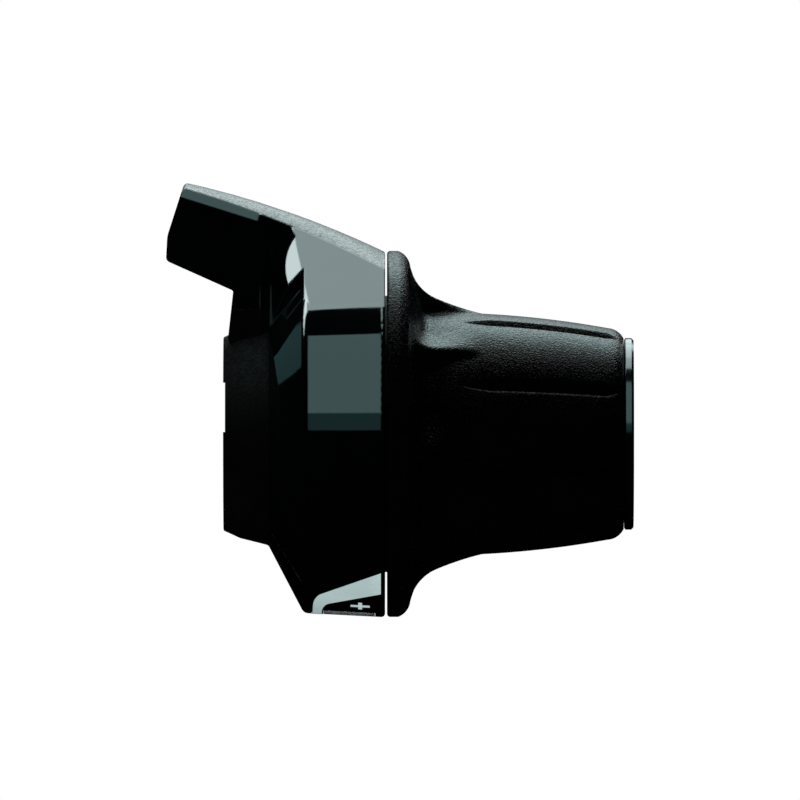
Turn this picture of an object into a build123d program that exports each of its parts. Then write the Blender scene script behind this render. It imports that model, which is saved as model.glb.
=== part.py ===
from build123d import *
import math
import os

# Right-hand twist grip shifter for a flat handlebar. All sizes in millimetres.
# X runs along the handlebar towards its end, Z is up and the front looks towards -Y.
# Places round the bar are given as a height angle: 0 is the front, 90 the top, -90 the bottom.

# Handlebar, clamp collar and bearing tube
bar_r = 22.2 / 2
clamp_bore_r = bar_r + 0.05
tube_bore_r = bar_r + 0.3
tube_wall = 1.0
tube_r = tube_bore_r + tube_wall
collar_len = 7.0
collar_face_r = bar_r + 4.0
collar_bevel_x = 2.6
collar_bevel_r = bar_r + 5.2
collar_r = bar_r + 6.3
inside_r = bar_r - 2.1
face_slot_depth = 0.3
face_slot_z = (0.3, 8.0)

# Drum housing
cone_len = 5.55
drum_len = 12.7
drum_x0 = collar_len + cone_len
drum_x1 = drum_x0 + drum_len
drum_r1 = 28.65
drum_taper = 0.65
drum_r0 = drum_r1 - drum_taper
drum_slope = drum_taper / drum_len
wall = 1.6
cone_run = cone_len / (drum_r0 - collar_r)
cone_skin = wall * math.hypot(cone_run, 1)
chamber_x0 = drum_x0 - 0.55
base_r = collar_r + (chamber_x0 - collar_len - cone_skin) / cone_run
chamber_x1 = drum_x1 - 1.35
chamber_r = drum_r0 - 1.4

# Cable arm on top of the drum: roof line in the X-Z plane, crown across it, eaves where the roof ends
arm_rise = 10.45
roof_x0 = -5.15
roof_mid = (drum_x0 - 2.45, drum_r1 + 0.579 * arm_rise)
roof_points = ((roof_x0, drum_r1 + arm_rise), roof_mid, (drum_x1 - 0.15, drum_r1 - 0.15))
roof_half_width = 16.0
crown_share = 0.7
roof_reach = 22.0
roof_deep = 36.0
eave_thick = 1.0
eaves_drop = 3.0
eaves_points = (
    (roof_x0 - 1.05, drum_r1 + arm_rise - 0.7),
    (drum_x0 - 1.65, drum_r1 + 3.75),
    (drum_x1, drum_r1 - eaves_drop),
)
arm_tip_half = 6.0
arm_root_half = 7.5
arm_panel_x1 = drum_x0 - 6.85
arm_valley_half = 6.2
valley_x = arm_panel_x1 + 1.6
arm_edge_r = 0.7
bevel_drop = 1.25
bevel_depth = 0.45
shoulder_angle = 43.5
shoulder_sink = 0.02
arm_tip = (
    (roof_x0, drum_r1 + arm_rise + 3.0),
    (roof_x0 - 3.6, drum_r1 + 2.25),
    (roof_x0 - 3.8, drum_r1 - 1.6),
)
arm_foot = ((1.55, drum_r1 - 6.3), (0.75, collar_face_r - 0.1), (3.0, inside_r))
arm_outline = (*arm_tip, *arm_foot, (drum_x1, inside_r), (drum_x1, arm_tip[0][1]))
tip_run = arm_tip[0][0] - arm_tip[1][0]
tip_drop = arm_tip[0][1] - arm_tip[1][1]
arm_tilt = math.degrees(math.atan2(tip_run, tip_drop))
mouth_z = drum_r1 + 4.65
casing_mouth = (roof_x0 - tip_run * (arm_tip[0][1] - mouth_z) / tip_drop, 0, mouth_z)
casing_r = 2.6
casing_depth = 11.0
cable_hole_r = 1.0
guide_r = 1.9
guide_bore_r = 0.9
guide_bend_r = 6.0
guide_fit = 0.05

# Parting of the glossy cover from the bracket
cover_fit = 0.05
cover_lip_x = collar_len + 0.1
cover_seat_r = collar_r - 1.4
cover_neck_z = collar_r + 2.1
cover_back_angle = -200.0

# Turning parts
run_fit = 0.08
end_fit = 0.05
core_bore_r = tube_r + run_fit
core_wall = 1.42
core_r = core_bore_r + core_wall
wave_thick = 0.55
thrust_thick = 0.6
wave_x0 = chamber_x0 + end_fit
thrust_x0 = wave_x0 + wave_thick + end_fit
winder_x0 = thrust_x0 + thrust_thick + end_fit
cable_wrap_r = 15.0
winder_flange_r = cable_wrap_r + 2.6
washer_r = winder_flange_r - 0.8
groove_x0 = winder_x0 + 1.7
groove_x = (groove_x0, groove_x0 + 1.6)
ring_seat_r = cable_wrap_r + 1.0
ring_thick = 1.2
ring_x = (groove_x[1] + 2.4, groove_x[1] + 2.4 + ring_thick)
pointer_thick = 1.0
hub_x0 = ring_x[1] + pointer_thick
index_r = chamber_r - 5.8
notch_depth = 0.85
nose_angle = 112.0
leaf_x = (ring_x[0] - 0.2, ring_x[1] + 0.7)
leaf_thick = 0.45
leaf_r = (index_r + 1.6, index_r + 1.6 + leaf_thick)
leaf_half = 10.2
leaf_fit = 0.05
nose_r = index_r - notch_depth + 0.2
neck_r = index_r + 0.8
mouth_r = neck_r + 0.7
key_angles = (30.0, 150.0, 270.0)
key_half_angle = 12.0
key_r = core_bore_r + 2.02
key_x0 = hub_x0 - 2.4
key_fit = 0.05
head_angle = 12.0
seal_x = drum_x1 - 0.65
seal_r = 0.5
seal_seat_r = neck_r - 0.7

# Grip
grip_gap = 0.3
grip_len = 36.8
grip_x0 = drum_x1 + grip_gap
grip_x1 = grip_x0 + grip_len
flange_r = drum_r1 - 0.05
core_flange_x = (grip_x0 + 0.65, grip_x0 + 2.05)
core_flange_r = flange_r - 1.8
barrel_x = (grip_x0 + 14.85, grip_x1 - 2.35)
barrel_r = (core_r + 4.9, core_r + 2.65)
lobes = 8
pitch = 360 / lobes
groove_angle = 23.3
scoop_half_angle = 19.0
scoop_lag = 5.3

# Gear indicator: seven gears, one click each
gears = 7
click = 12.0
mid_gear_angle = -121.5
first_gear_angle = mid_gear_angle + click * (gears - 1) / 2
window_half_angle = 43.5
window_x = (drum_x0 + 3.05, drum_x1 - 1.55)
ledge = 0.8
lens_thick = 1.0
lens_fit = 0.05
bezel_depth = 0.6
bezel_proud = 0.05
bezel_x0 = drum_x0 + 1.15
bezel_band_x = (bezel_x0, bezel_x0 + 1.4)
bezel_band_angle = -84.0
bezel_x1 = drum_x1 - 0.65
strip_x = (window_x[0] + 0.2, window_x[0] + 3.8)
strip_r = (chamber_r - 0.5, chamber_r - 0.05)
pointer_r = (strip_r[0] - 1.1, strip_r[0] - 0.5)
pointer_x1 = window_x[1] - 0.9
pointer_half_angle = 3.0

# Clamp screw
screw_x = collar_len / 2
screw_r = 2.0
screw_y = collar_r + 1.6
screw_hole_r = screw_r + 0.2
head_r = 3.4
head_len = 4.0
hex_flats = 3.0
lug_z = 7.5
lug_y = screw_y + 4.0
lug_x1 = collar_len - 0.1
clamp_slit = 1.6
flex_x = (collar_len + 0.1, collar_len + 0.9)
flex_angles = (250.0, 110.0)
insert_r = screw_r + 1.0
insert_z = (1.2, 7.2)

# Cover screws and the plug of the cable port
cover_screw_angles = (20.0, -75.0, -165.0)
cover_screw_r = base_r - 2.7
cover_thread_r = 1.0
cover_head_r = 1.7
boss_r = 2.4
boss_x1 = chamber_x0 - 0.7
port_angle = 147.0
port_r = 2.5
port_lip = 0.8
port_x = bezel_x0 + 2.1
port_fit = 0.05

# Outer end ring
ring_gap = 0.25
end_ring_len = 1.46
ring_x0 = grip_x1 + ring_gap
tube_end_x = ring_x0 + end_ring_len
end_ring_r = tube_r + 2.57
snap_depth = 0.35
snap_x = (ring_x0 + 0.35, tube_end_x - 0.46)


def height(angle):
    """Turn a shape made at the top of the bar to another height angle."""
    return Rot(X=90 - angle)


def polygon(points, radius=0):
    """Face in the X-Z plane from its corners, with optional rounding of each corner."""
    return Plane.XZ * make_face(FilletPolyline(*points, radius=radius, close=True))


def lathe(points, radius=0):
    """Solid of revolution about the bar axis from (x, r) corners."""
    return revolve(polygon(points, radius), Axis.X)


def sector(points, start, end, radius=0):
    """Part of a solid of revolution between two height angles, start above end."""
    return height(start) * revolve(polygon(points, radius), Axis.X, start - end)


def ring(x0, x1, r0, r1):
    """Plain ring about the bar axis."""
    return lathe(((x0, r0), (x0, r1), (x1, r1), (x1, r0)))


def block(x, y, z):
    """Box from three (low, high) pairs."""
    size = (x[1] - x[0], y[1] - y[0], z[1] - z[0])
    return Pos((x[0] + x[1]) / 2, (y[0] + y[1]) / 2, (z[0] + z[1]) / 2) * Box(*size)


def rod_x(x0, x1, r):
    """Cylinder along X from x0 to x1 about the bar axis."""
    return Pos((x0 + x1) / 2, 0, 0) * Rot(Y=90) * Cylinder(r, x1 - x0)


def rod_z(x, y, z0, z1, r):
    """Upright cylinder from z0 to z1."""
    return Pos(x, y, (z0 + z1) / 2) * Cylinder(r, z1 - z0)


def inner_cone_x(r):
    """Inside of the cover's cone at a radius."""
    return collar_len + (r - collar_r) * cone_run + cone_skin


def drum_r(x):
    """Outer radius of the drum at a place along the bar."""
    return drum_r0 + drum_slope * (x - drum_x0)


# Housing envelope: collar, cone and drum as one turned shape
housing = lathe(
    (
        (0, 0),
        (0, collar_face_r),
        (collar_bevel_x, collar_bevel_r),
        (collar_len, collar_r),
        (drum_x0, drum_r0),
        (drum_x1, drum_r1),
        (drum_x1, 0),
    ),
    (0, 0.3, 2.0, 0.5, 1.2, 0.6, 0),
)

# Roof of the arm: follows the roof line along the bar and is crowned across it down to the eaves
roof_line = ThreePointArc(*roof_points)
eaves_line = ThreePointArc(*eaves_points)


def height_on(line, x):
    """Height of a roof or eaves line, both of which bend downwards."""
    return line.arc_center.Y + math.sqrt(line.radius**2 - (x - line.arc_center.X) ** 2)


panel_slope = (arm_root_half - arm_tip_half + 0.5) / (arm_panel_x1 + 14)


def panel_y(x):
    """Depth of the arm's front panel."""
    return -arm_tip_half + 0.5 - panel_slope * (x + 14)


def flank_y(x, z):
    """Depth of the shoulder's flat front flank."""
    angle = math.radians(shoulder_angle)
    return -(drum_r(x) - shoulder_sink - z * math.sin(angle)) / math.cos(angle)


def roof_section(x):
    """Area under the crowned roof at a place along the bar."""
    top = height_on(roof_line, x)
    eaves = height_on(eaves_line, x)
    half_span = -panel_y(x) - bevel_depth if x < arm_panel_x1 else -flank_y(x, eaves)
    sag = top - eaves
    crown_r = (half_span**2 + sag**2) / (2 * sag)
    side = min(roof_half_width, crown_share * crown_r)
    low = top - crown_r + math.sqrt(crown_r**2 - side**2)
    crown = ThreePointArc((-side, low), (0, top), (side, low))
    deep = top - roof_deep
    far = roof_reach
    sides = Polyline((side, low), (far, low), (far, deep), (-far, deep), (-far, low), (-side, low))
    return Plane.YZ.offset(x) * make_face([crown, sides])


arm_sections = (-12.0, -8.0, roof_x0 + 2.15, roof_x0 + 6.65, arm_panel_x1 - 0.2)
drum_sections = [drum_x0 + drum_len * share for share in (-0.12, 0.15, 0.4, 0.63, 0.87)]
roof_body = loft([roof_section(x) for x in (*arm_sections, *drum_sections, drum_x1 + 1)], ruled=True)

# Everything above the eaves belongs to the bracket
eaves_x = (-14, drum_x1 + 1)
eaves_top = arm_tip[0][1] + 2
eaves_ends = [(x, height_on(eaves_line, x)) for x in eaves_x]
above_eaves = extrude(
    Plane.XZ
    * make_face(
        [
            ThreePointArc(eaves_ends[0], eaves_points[1], eaves_ends[1]),
            Polyline(eaves_ends[1], (eaves_x[1], eaves_top), (eaves_x[0], eaves_top), eaves_ends[0]),
        ]
    ),
    40,
    both=True,
)

# Arm and its valley: side outline crossed with the plan outline
arm_side = extrude(polygon(arm_outline, (0, 5.0, 0.8, 0.4, 0, 0, 0, 0)), 30, both=True)
arm_plan = extrude(
    Plane.XY.offset(5)
    * make_face(
        FilletPolyline(
            (-14, -arm_tip_half + 0.5),
            (arm_panel_x1, -arm_root_half),
            (valley_x, -arm_valley_half),
            (drum_x0 + 3.45, -arm_valley_half),
            (drum_x0 + 3.45, arm_root_half),
            (-14, arm_tip_half - 0.5),
            radius=(0, 0.8, 1.2, 0, 0, 0),
            close=True,
        )
    ),
    45,
)
arm = arm_side & arm_plan & roof_body
tip_z = roof_points[0][1] - 0.8
tip_edges = arm.edges().filter_by(lambda e: e.center().X < roof_x0 + 0.4 and e.center().Z > tip_z)
arm = fillet(tip_edges, arm_edge_r)

# Bevel along the top of the arm's front panel
bevel_x = (-11.0, arm_panel_x1 - 0.4)
bevel_ends = [Vector(x, panel_y(x), height_on(eaves_line, x) - bevel_drop) for x in bevel_x]
bevel_run = bevel_ends[1] - bevel_ends[0]
bevel_plane = Plane(bevel_ends[0], x_dir=(0, 0, 1), z_dir=bevel_run)
rise = 3 * bevel_drop
bevel_cut = Polyline((0, 0), (rise, -3 * bevel_depth), (rise, 4), (0, 4), close=True)
arm = arm - extrude(bevel_plane * make_face(bevel_cut), bevel_run.length)

# Eave of the roof over the valley
eave_x = (arm_panel_x1 - 0.6, drum_x0 - 1.4)
eave_y = (panel_y(eave_x[0]) + bevel_depth, flank_y(eave_x[1], height_on(eaves_line, eave_x[1])))
eave_plan = Polyline(*zip(eave_x, eave_y), (drum_x0 + 1, -4), (eave_x[0], -4), close=True)
eave = extrude(make_face(eave_plan), 45) & (roof_body - Pos(0, 0, -eave_thick) * roof_body)

# Shoulder of the drum: two flat flanks that touch the drum and rise into the roof
shoulder_x = (drum_x0 - 3.2, drum_x1 - 0.05)


def shoulder_section(x):
    """Gable whose flanks touch the drum, front and back."""
    r = drum_r(x) - shoulder_sink
    foot_y = r * math.cos(math.radians(shoulder_angle))
    foot_z = r * math.sin(math.radians(shoulder_angle))
    apex_z = r / math.sin(math.radians(shoulder_angle))
    corners = ((-foot_y, foot_z), (0, apex_z), (foot_y, foot_z), (0, foot_z - 4))
    return Plane.YZ.offset(x) * make_face(Polyline(*corners, close=True))


# The shoulder's inner end: a step over the drum's edge with a leaning facet
step_foot = (drum_x0 + 0.05, drum_r1 - 2.85)
step_low = (drum_x0 - 2.35, drum_r1 - 5.45)
step_mid = (drum_x0 - 2.8, drum_r1 - 1.65)
step_top = (drum_x0 - 1.3, drum_r1 + 2.05)
side_tip = (drum_x0 - 1.95, drum_r1 + 3.5)
side_top = arm_tip[0][1]
side_corners = (side_tip, (side_tip[0], side_top), (drum_x1, side_top), (drum_x1, inside_r))
shoulder_side = extrude(
    Plane.XZ
    * make_face(
        [
            Polyline(*side_corners, (step_foot[0], inside_r), step_foot, step_low),
            ThreePointArc(step_low, step_mid, step_top),
            Line(step_top, side_tip),
        ]
    ),
    30,
    both=True,
)
facet_lean = math.radians(25.0)
facet_edge = [(drum_x0 - 1.55, drum_r1 + 2.65), (drum_x0 + 0.2, drum_r1 - 6.15)]
facet_ends = [Vector(x, flank_y(x, z), z) for x, z in facet_edge]
facet_along = (facet_ends[1] - facet_ends[0]).normalized()
flank_up = Vector(0, -math.cos(math.radians(shoulder_angle)), math.sin(math.radians(shoulder_angle)))
facet_up = flank_up * math.cos(facet_lean) + facet_along.cross(flank_up) * math.sin(facet_lean)
facet_cut = Plane(facet_ends[0], z_dir=facet_up) * Pos(0, 0, 20) * Box(90, 60, 40)
facet_cut = facet_cut - block((-60, 60), (0, 60), (-60, 90))
shoulder = loft([shoulder_section(x) for x in shoulder_x], ruled=True) & roof_body
shoulder = (shoulder & shoulder_side) - facet_cut - mirror(facet_cut, about=Plane.XZ)

outer = housing + (arm + eave + shoulder)


# Hollow of the drum, with the mouth that the neck of the grip turns in
drum_hollow = (
    (inner_cone_x(chamber_r), chamber_r),
    (chamber_x1, chamber_r),
    (chamber_x1, mouth_r),
    (drum_x1 + 1, mouth_r),
    (drum_x1 + 1, 0),
)
chamber = lathe(((chamber_x0, 0), (chamber_x0, base_r), *drum_hollow))
cover_hollow = lathe(
    (
        (collar_len - 0.5, 0),
        (collar_len - 0.5, cover_seat_r),
        (inner_cone_x(cover_seat_r), cover_seat_r),
        *drum_hollow,
    )
)

# Cover zone: a front skin of the arm and shoulder, then the drum round to the back
front_line = (
    (-14, -arm_tip_half + 0.5),
    (arm_panel_x1, -arm_root_half),
    (valley_x, -arm_valley_half),
    (drum_x0 - 1.25, -arm_valley_half),
    (drum_x0 + 0.45, -arm_valley_half - 1.2),
    (drum_x0 + 5.95, -arm_valley_half - 3.6),
    (drum_x1 + 1, -arm_valley_half - 3.8),
)


skin_line = [(x, y + wall) for x, y in front_line]
skin_plan = make_face(Polyline(*skin_line, (drum_x1 + 1, -45), (-14, -45), close=True))
front_zone = extrude(Plane.XY.offset(-40) * skin_plan, 100)
back_half = ((cover_lip_x, 0), (cover_lip_x, 45), (drum_x1 + 1, 45), (drum_x1 + 1, 0))
back_zone = sector(back_half, 0, cover_back_angle)
neck_zone = block((-20, cover_lip_x), (-50, 50), (-50, cover_neck_z))
cover_zone = (front_zone - above_eaves - neck_zone) + back_zone


# Turned plate inside the cone that carries the tube
base_plate = lathe(
    (
        (collar_len - 0.5, 0),
        (collar_len - 0.5, cover_seat_r - cover_fit),
        (inner_cone_x(cover_seat_r) + cover_fit, cover_seat_r - cover_fit),
        (chamber_x0, base_r - cover_fit),
        (chamber_x0, 0),
    )
)

front_cover = (outer & cover_zone) - cover_hollow
bracket = (outer - cover_zone) - chamber + base_plate

# Clamp lugs at the back of the collar, with slit, flex slot and screw holes
lug = block((0, lug_x1), (inside_r, lug_y), (-lug_z, lug_z))
lug = fillet(lug.edges().filter_by(Axis.X).group_by(Axis.Y)[-1], 2.5)
bracket = bracket + lug
bracket = bracket + ring(chamber_x0 - 1, tube_end_x, tube_bore_r, tube_r)
bracket = bracket - rod_x(-1, tube_end_x + 1, clamp_bore_r)
bracket = bracket - rod_x(collar_len, tube_end_x + 1, tube_bore_r)
bracket = bracket - block((-1, flex_x[1]), (inside_r, lug_y + 5), (-clamp_slit / 2, clamp_slit / 2))
flex_r = (bar_r - 1.1, collar_r + 1.6)
flex = ((flex_x[0], flex_r[0]), (flex_x[0], flex_r[1]), (flex_x[1], flex_r[1]), (flex_x[1], flex_r[0]))
bracket = bracket - sector(flex, *flex_angles)
bracket = bracket - block((-1, face_slot_depth), (-30, 30), face_slot_z)
bracket = bracket - rod_z(screw_x, screw_y, -lug_z - 1, insert_z[0] + 0.1, screw_hole_r)
bracket = bracket - rod_z(screw_x, screw_y, insert_z[0], lug_z + 1, insert_r)

clamp_bolt = rod_z(screw_x, screw_y, -lug_z - head_len, -lug_z, head_r)
clamp_bolt = chamfer(clamp_bolt.edges().group_by(Axis.Z)[0], 0.35)
clamp_bolt = clamp_bolt + rod_z(screw_x, screw_y, -lug_z - 0.1, insert_z[1] - 0.7, screw_r)
hex_key = Plane((screw_x, screw_y, -lug_z - head_len)) * RegularPolygon(hex_flats / 2, 6, major_radius=False)
clamp_bolt = clamp_bolt - extrude(hex_key, 2.2)
clamp_insert = rod_z(screw_x, screw_y, *insert_z, insert_r) - rod_z(screw_x, screw_y, 0, 10, screw_r + 0.02)

# Casing seat in the arm, cable hole and the bent guide that leads down to the winder
arm_axis = Pos(*casing_mouth) * Rot(Y=90 + arm_tilt)
bend_x = (groove_x[0] + groove_x[1]) / 2
bend_s = (bend_x - casing_mouth[0]) / math.cos(math.radians(arm_tilt))
bend = Vector(bend_x, 0, casing_mouth[2] - bend_s * math.sin(math.radians(arm_tilt)))
lean = math.asin(cable_wrap_r / bend.Z)
up = Vector(0, math.sin(lean), math.cos(lean))
out = Vector(-math.cos(math.radians(arm_tilt)), 0, math.sin(math.radians(arm_tilt)))
guide_leg = guide_bend_r * math.tan(up.get_angle(out) / 2 * math.pi / 180)
guide_path = TangentArc(bend - up * guide_leg, bend + out * guide_leg, tangent=up)


def guide_tube(r):
    """Round bar bent along the cable's path."""
    return sweep(Plane(bend - up * guide_leg, z_dir=up) * Circle(r), path=guide_path)


cable_guide = guide_tube(guide_r) - guide_tube(guide_bore_r)
guide_seat = block((chamber_x0 + 0.2, bend_x + 2.5), (-4.5, 3.0), (bend.Z - 3.95, chamber_r + 1.4))
bracket = bracket + guide_seat
bracket = bracket - guide_tube(guide_r + guide_fit)
bracket = bracket - arm_axis * Pos(0, 0, casing_depth / 2 - 2) * Cylinder(casing_r, casing_depth + 4)
hole_s = (casing_depth - 1, bend_s - guide_leg + 1)
cable_hole = Pos(0, 0, (hole_s[0] + hole_s[1]) / 2) * Cylinder(cable_hole_r, hole_s[1] - hole_s[0])
bracket = bracket - arm_axis * cable_hole

# Posts that hold the leaf spring over the index ring
post_x = (leaf_x[0] - 0.2, leaf_x[1] + 0.7)
post = block(post_x, (leaf_half - 1.5, leaf_half + 1.3), (leaf_r[0] - 0.9, chamber_r + 1.4))
posts = (post + mirror(post, Plane.XZ)) & rod_x(0, drum_x1, chamber_r + 0.8)
leaf_room = (leaf_r[0] - leaf_fit, leaf_r[1] + leaf_fit)
leaf_span = leaf_half + leaf_fit
posts = posts - block((0, leaf_x[1] + leaf_fit), (-leaf_span, leaf_span), leaf_room)
bracket = bracket + height(nose_angle) * posts
leaf_outline = (
    (-leaf_half, leaf_r[0]),
    (-2.8, leaf_r[0]),
    (-0.4, nose_r),
    (0.4, nose_r),
    (2.8, leaf_r[0]),
    (leaf_half, leaf_r[0]),
    (leaf_half, leaf_r[1]),
    (2.6, leaf_r[1]),
    (0.2, nose_r + 0.5),
    (-0.2, nose_r + 0.5),
    (-2.6, leaf_r[1]),
    (-leaf_half, leaf_r[1]),
)
leaf_face = Plane.YZ.offset(leaf_x[0]) * make_face(Polyline(*leaf_outline, close=True))
leaf = extrude(leaf_face, leaf_x[1] - leaf_x[0])
detent_spring = height(nose_angle) * leaf

# Cable port in the rear shell and its plug
port_seat_r = drum_r0 - 0.1
port_out_r = drum_r1 + 3
bracket = bracket - height(port_angle) * rod_z(port_x, 0, chamber_r - 6, port_out_r, port_r)
port_sink = rod_z(port_x, 0, port_seat_r, port_out_r, port_r + port_lip + port_fit)
bracket = bracket - height(port_angle) * port_sink
plug = rod_z(port_x, 0, chamber_r - 0.4, port_seat_r + 0.1, port_r - port_fit)
plug = plug + rod_z(port_x, 0, port_seat_r, port_seat_r + 0.9, port_r + port_lip)
port_plug = height(port_angle) * plug

# Cover screws, driven from inside the drum into bosses of the cover
cover_screws = []
boss_x0 = collar_len - 2
screw_x0 = chamber_x0 - 2.0
for angle in cover_screw_angles:
    place = height(angle) * Pos(0, 0, cover_screw_r)
    boss = place * rod_x(boss_x0, boss_x1, boss_r)
    front_cover = front_cover + (boss & housing) - place * rod_x(screw_x0 - 0.1, chamber_x0, cover_thread_r)
    bracket = bracket - place * rod_x(boss_x0, boss_x1 + cover_fit, boss_r + 2 * cover_fit)
    bracket = bracket - place * rod_x(boss_x0, chamber_x0 + 1, cover_thread_r + cover_fit)
    shank = rod_x(screw_x0, chamber_x0 + 0.1, cover_thread_r)
    cover_screws.append(place * (shank + rod_x(chamber_x0, chamber_x0 + 1.1, cover_head_r)))


# Gear window: pocket with a ledge, clear lens, silver bezel and number strip
def drum_skin(x0, x1, depth, proud):
    """Profile that follows the drum's surface between two places along the bar."""
    low = (drum_r(x0) - depth, drum_r(x1) - depth)
    return ((x0, low[0]), (x0, drum_r(x0) + proud), (x1, drum_r(x1) + proud), (x1, low[1]))


window_top = mid_gear_angle + window_half_angle
window_end = mid_gear_angle - window_half_angle
front_cover = front_cover - sector(drum_skin(*window_x, lens_thick, 3), window_top, window_end)
sight = drum_skin(window_x[0] + ledge, window_x[1] - ledge, 6, 3)
front_cover = front_cover - sector(sight, window_top - 1.6, window_end + 1.6)
lens_x = (window_x[0] + lens_fit, window_x[1] - lens_fit)
indicator_window = sector(drum_skin(*lens_x, lens_thick, 0), window_top - 0.1, window_end + 0.1)
strip = (
    (strip_x[0], strip_r[0]),
    (strip_x[0], strip_r[1]),
    (strip_x[1], strip_r[1]),
    (strip_x[1], strip_r[0]),
)
number_strip = sector(strip, window_top - 0.5, window_end + 0.5)

swoosh = polygon(
    (
        (drum_x1 + 1.75, 7.8 - drum_r1),
        (bezel_x0 + 0.4, 3.3 - drum_r1),
        (bezel_x0, -2.35 - drum_r1),
        (bezel_band_x[1], -2.35 - drum_r1),
        (bezel_band_x[1] + 0.35, 2.0 - drum_r1),
        (drum_x1 + 1.75, 4.1 - drum_r1),
    ),
    (0, 2.0, 0, 0, 1.4, 0),
)
bezel_skin = lathe(drum_skin(bezel_x0 - 0.6, bezel_x1, bezel_depth, bezel_proud))
bezel_front = extrude(swoosh, 40) & bezel_skin
mid = math.radians(mid_gear_angle)
mid_plane = Plane((0, 0, 0), x_dir=(1, 0, 0), z_dir=(0, -math.sin(mid), -math.cos(mid)))
band = drum_skin(*bezel_band_x, bezel_depth, bezel_proud)
bezel_band = sector(band, bezel_band_angle, 2 * mid_gear_angle - bezel_band_angle)
indicator_bezel = bezel_front + bezel_band + mirror(bezel_front, mid_plane)
front_cover = front_cover - indicator_bezel

# Washers and the snap ring at the tube's outer end
wave_washer = ring(wave_x0, wave_x0 + wave_thick, core_bore_r, washer_r)
thrust_washer = ring(thrust_x0, thrust_x0 + thrust_thick, core_bore_r, washer_r)
snap_r = tube_r - snap_depth
bracket = bracket - ring(snap_x[0] - end_fit, snap_x[1] + end_fit, snap_r - end_fit, tube_r + 1)
snug = tube_r + end_fit
end_ring = lathe(
    (
        (ring_x0, snug),
        (ring_x0, end_ring_r - 0.25),
        (ring_x0 + 0.2, end_ring_r),
        (tube_end_x - 0.35, end_ring_r),
        (tube_end_x, end_ring_r - 0.35),
        (tube_end_x, snug),
        (snap_x[1], snug),
        (snap_x[1], snap_r),
        (snap_x[0], snap_r),
        (snap_x[0], snug),
    )
)

# Winder with its cable groove, cable-head pocket and key slots
winder = lathe(
    (
        (winder_x0, core_bore_r),
        (winder_x0, winder_flange_r),
        (groove_x[0], winder_flange_r),
        (groove_x[0] + 0.25, cable_wrap_r - 0.6),
        (groove_x[1] - 0.25, cable_wrap_r - 0.6),
        (groove_x[1], winder_flange_r),
        (ring_x[0], winder_flange_r),
        (ring_x[0], ring_seat_r),
        (hub_x0, ring_seat_r),
        (hub_x0, core_bore_r),
    )
)
pocket = Pos(bend_x, 0, cable_wrap_r + 0.2) * Rot(X=90) * Cylinder(2.0, 5.5)
pocket = pocket + block((bend_x - 2, bend_x + 2), (-2.75, 2.75), (cable_wrap_r + 0.2, winder_flange_r + 1))
winder = winder - height(head_angle) * pocket

# Hard core of the grip: neck, flange, sleeve and drive keys
core_outline = (
    (hub_x0, neck_r),
    (core_flange_x[0], neck_r),
    (core_flange_x[0], core_flange_r),
    (core_flange_x[1], core_flange_r),
    (core_flange_x[1], core_r + 3.1),
    (grip_x0 + 5.45, core_r),
    (grip_x1 - 0.1, core_r),
)
core_fill = lathe(((hub_x0, 0), *core_outline, (grip_x1 - 0.1, 0)))
grip_core = core_fill - rod_x(hub_x0 - 1, grip_x1 + 1, core_bore_r)
grip_core = grip_core - ring(hub_x0 - 1, drum_x1 - 0.05, core_r + 2.9, neck_r - 1.4)
seal_half = seal_r + end_fit
grip_core = grip_core - ring(seal_x - seal_half, seal_x + seal_half, seal_seat_r, mouth_r)
for angle in key_angles:
    key = ((key_x0, core_bore_r), (key_x0, key_r), (hub_x0 + 0.5, key_r), (hub_x0 + 0.5, core_bore_r))
    grip_core = grip_core + sector(key, angle + key_half_angle, angle - key_half_angle)
    slot_x = (key_x0 - key_fit, hub_x0 + 1)
    slot_r = (tube_r - 0.4, key_r + key_fit)
    slot = ((slot_x[0], slot_r[0]), (slot_x[0], slot_r[1]), (slot_x[1], slot_r[1]), (slot_x[1], slot_r[0]))
    winder = winder - sector(slot, angle + key_half_angle + 0.3, angle - key_half_angle - 0.3)
dust_seal = Pos(seal_x, 0, 0) * Rot(Y=90) * Torus(seal_seat_r + end_fit + seal_r, seal_r)

# Index ring with one notch per gear, and the pointer beside it
index_ring = ring(*ring_x, ring_seat_r, index_r)
notch_low = index_r - notch_depth
notch_top = index_r + 0.6
notch = Polyline((-0.65, notch_low), (-2.0, notch_top), (2.0, notch_top), (0.65, notch_low), close=True)
notch_cut = extrude(Plane.YZ.offset(ring_x[0] - 1) * make_face(notch), 4)
for gear in range(gears):
    index_ring = index_ring - height(nose_angle + click * gear) * notch_cut
pointer_x0 = ring_x[1]
indicator_pointer = ring(pointer_x0, hub_x0, ring_seat_r, index_r - 1.5)
arm_up = block((pointer_x0, hub_x0), (-1.2, 1.2), (index_r - 2.0, pointer_r[0] + 0.2))
indicator_pointer = indicator_pointer + height(first_gear_angle) * arm_up
flag = (
    (pointer_x0, pointer_r[0]),
    (pointer_x0, pointer_r[1]),
    (pointer_x1, pointer_r[1]),
    (pointer_x1, pointer_r[0]),
)
flag_ends = (first_gear_angle + pointer_half_angle, first_gear_angle - pointer_half_angle)
indicator_pointer = indicator_pointer + sector(flag, *flag_ends)

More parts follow.
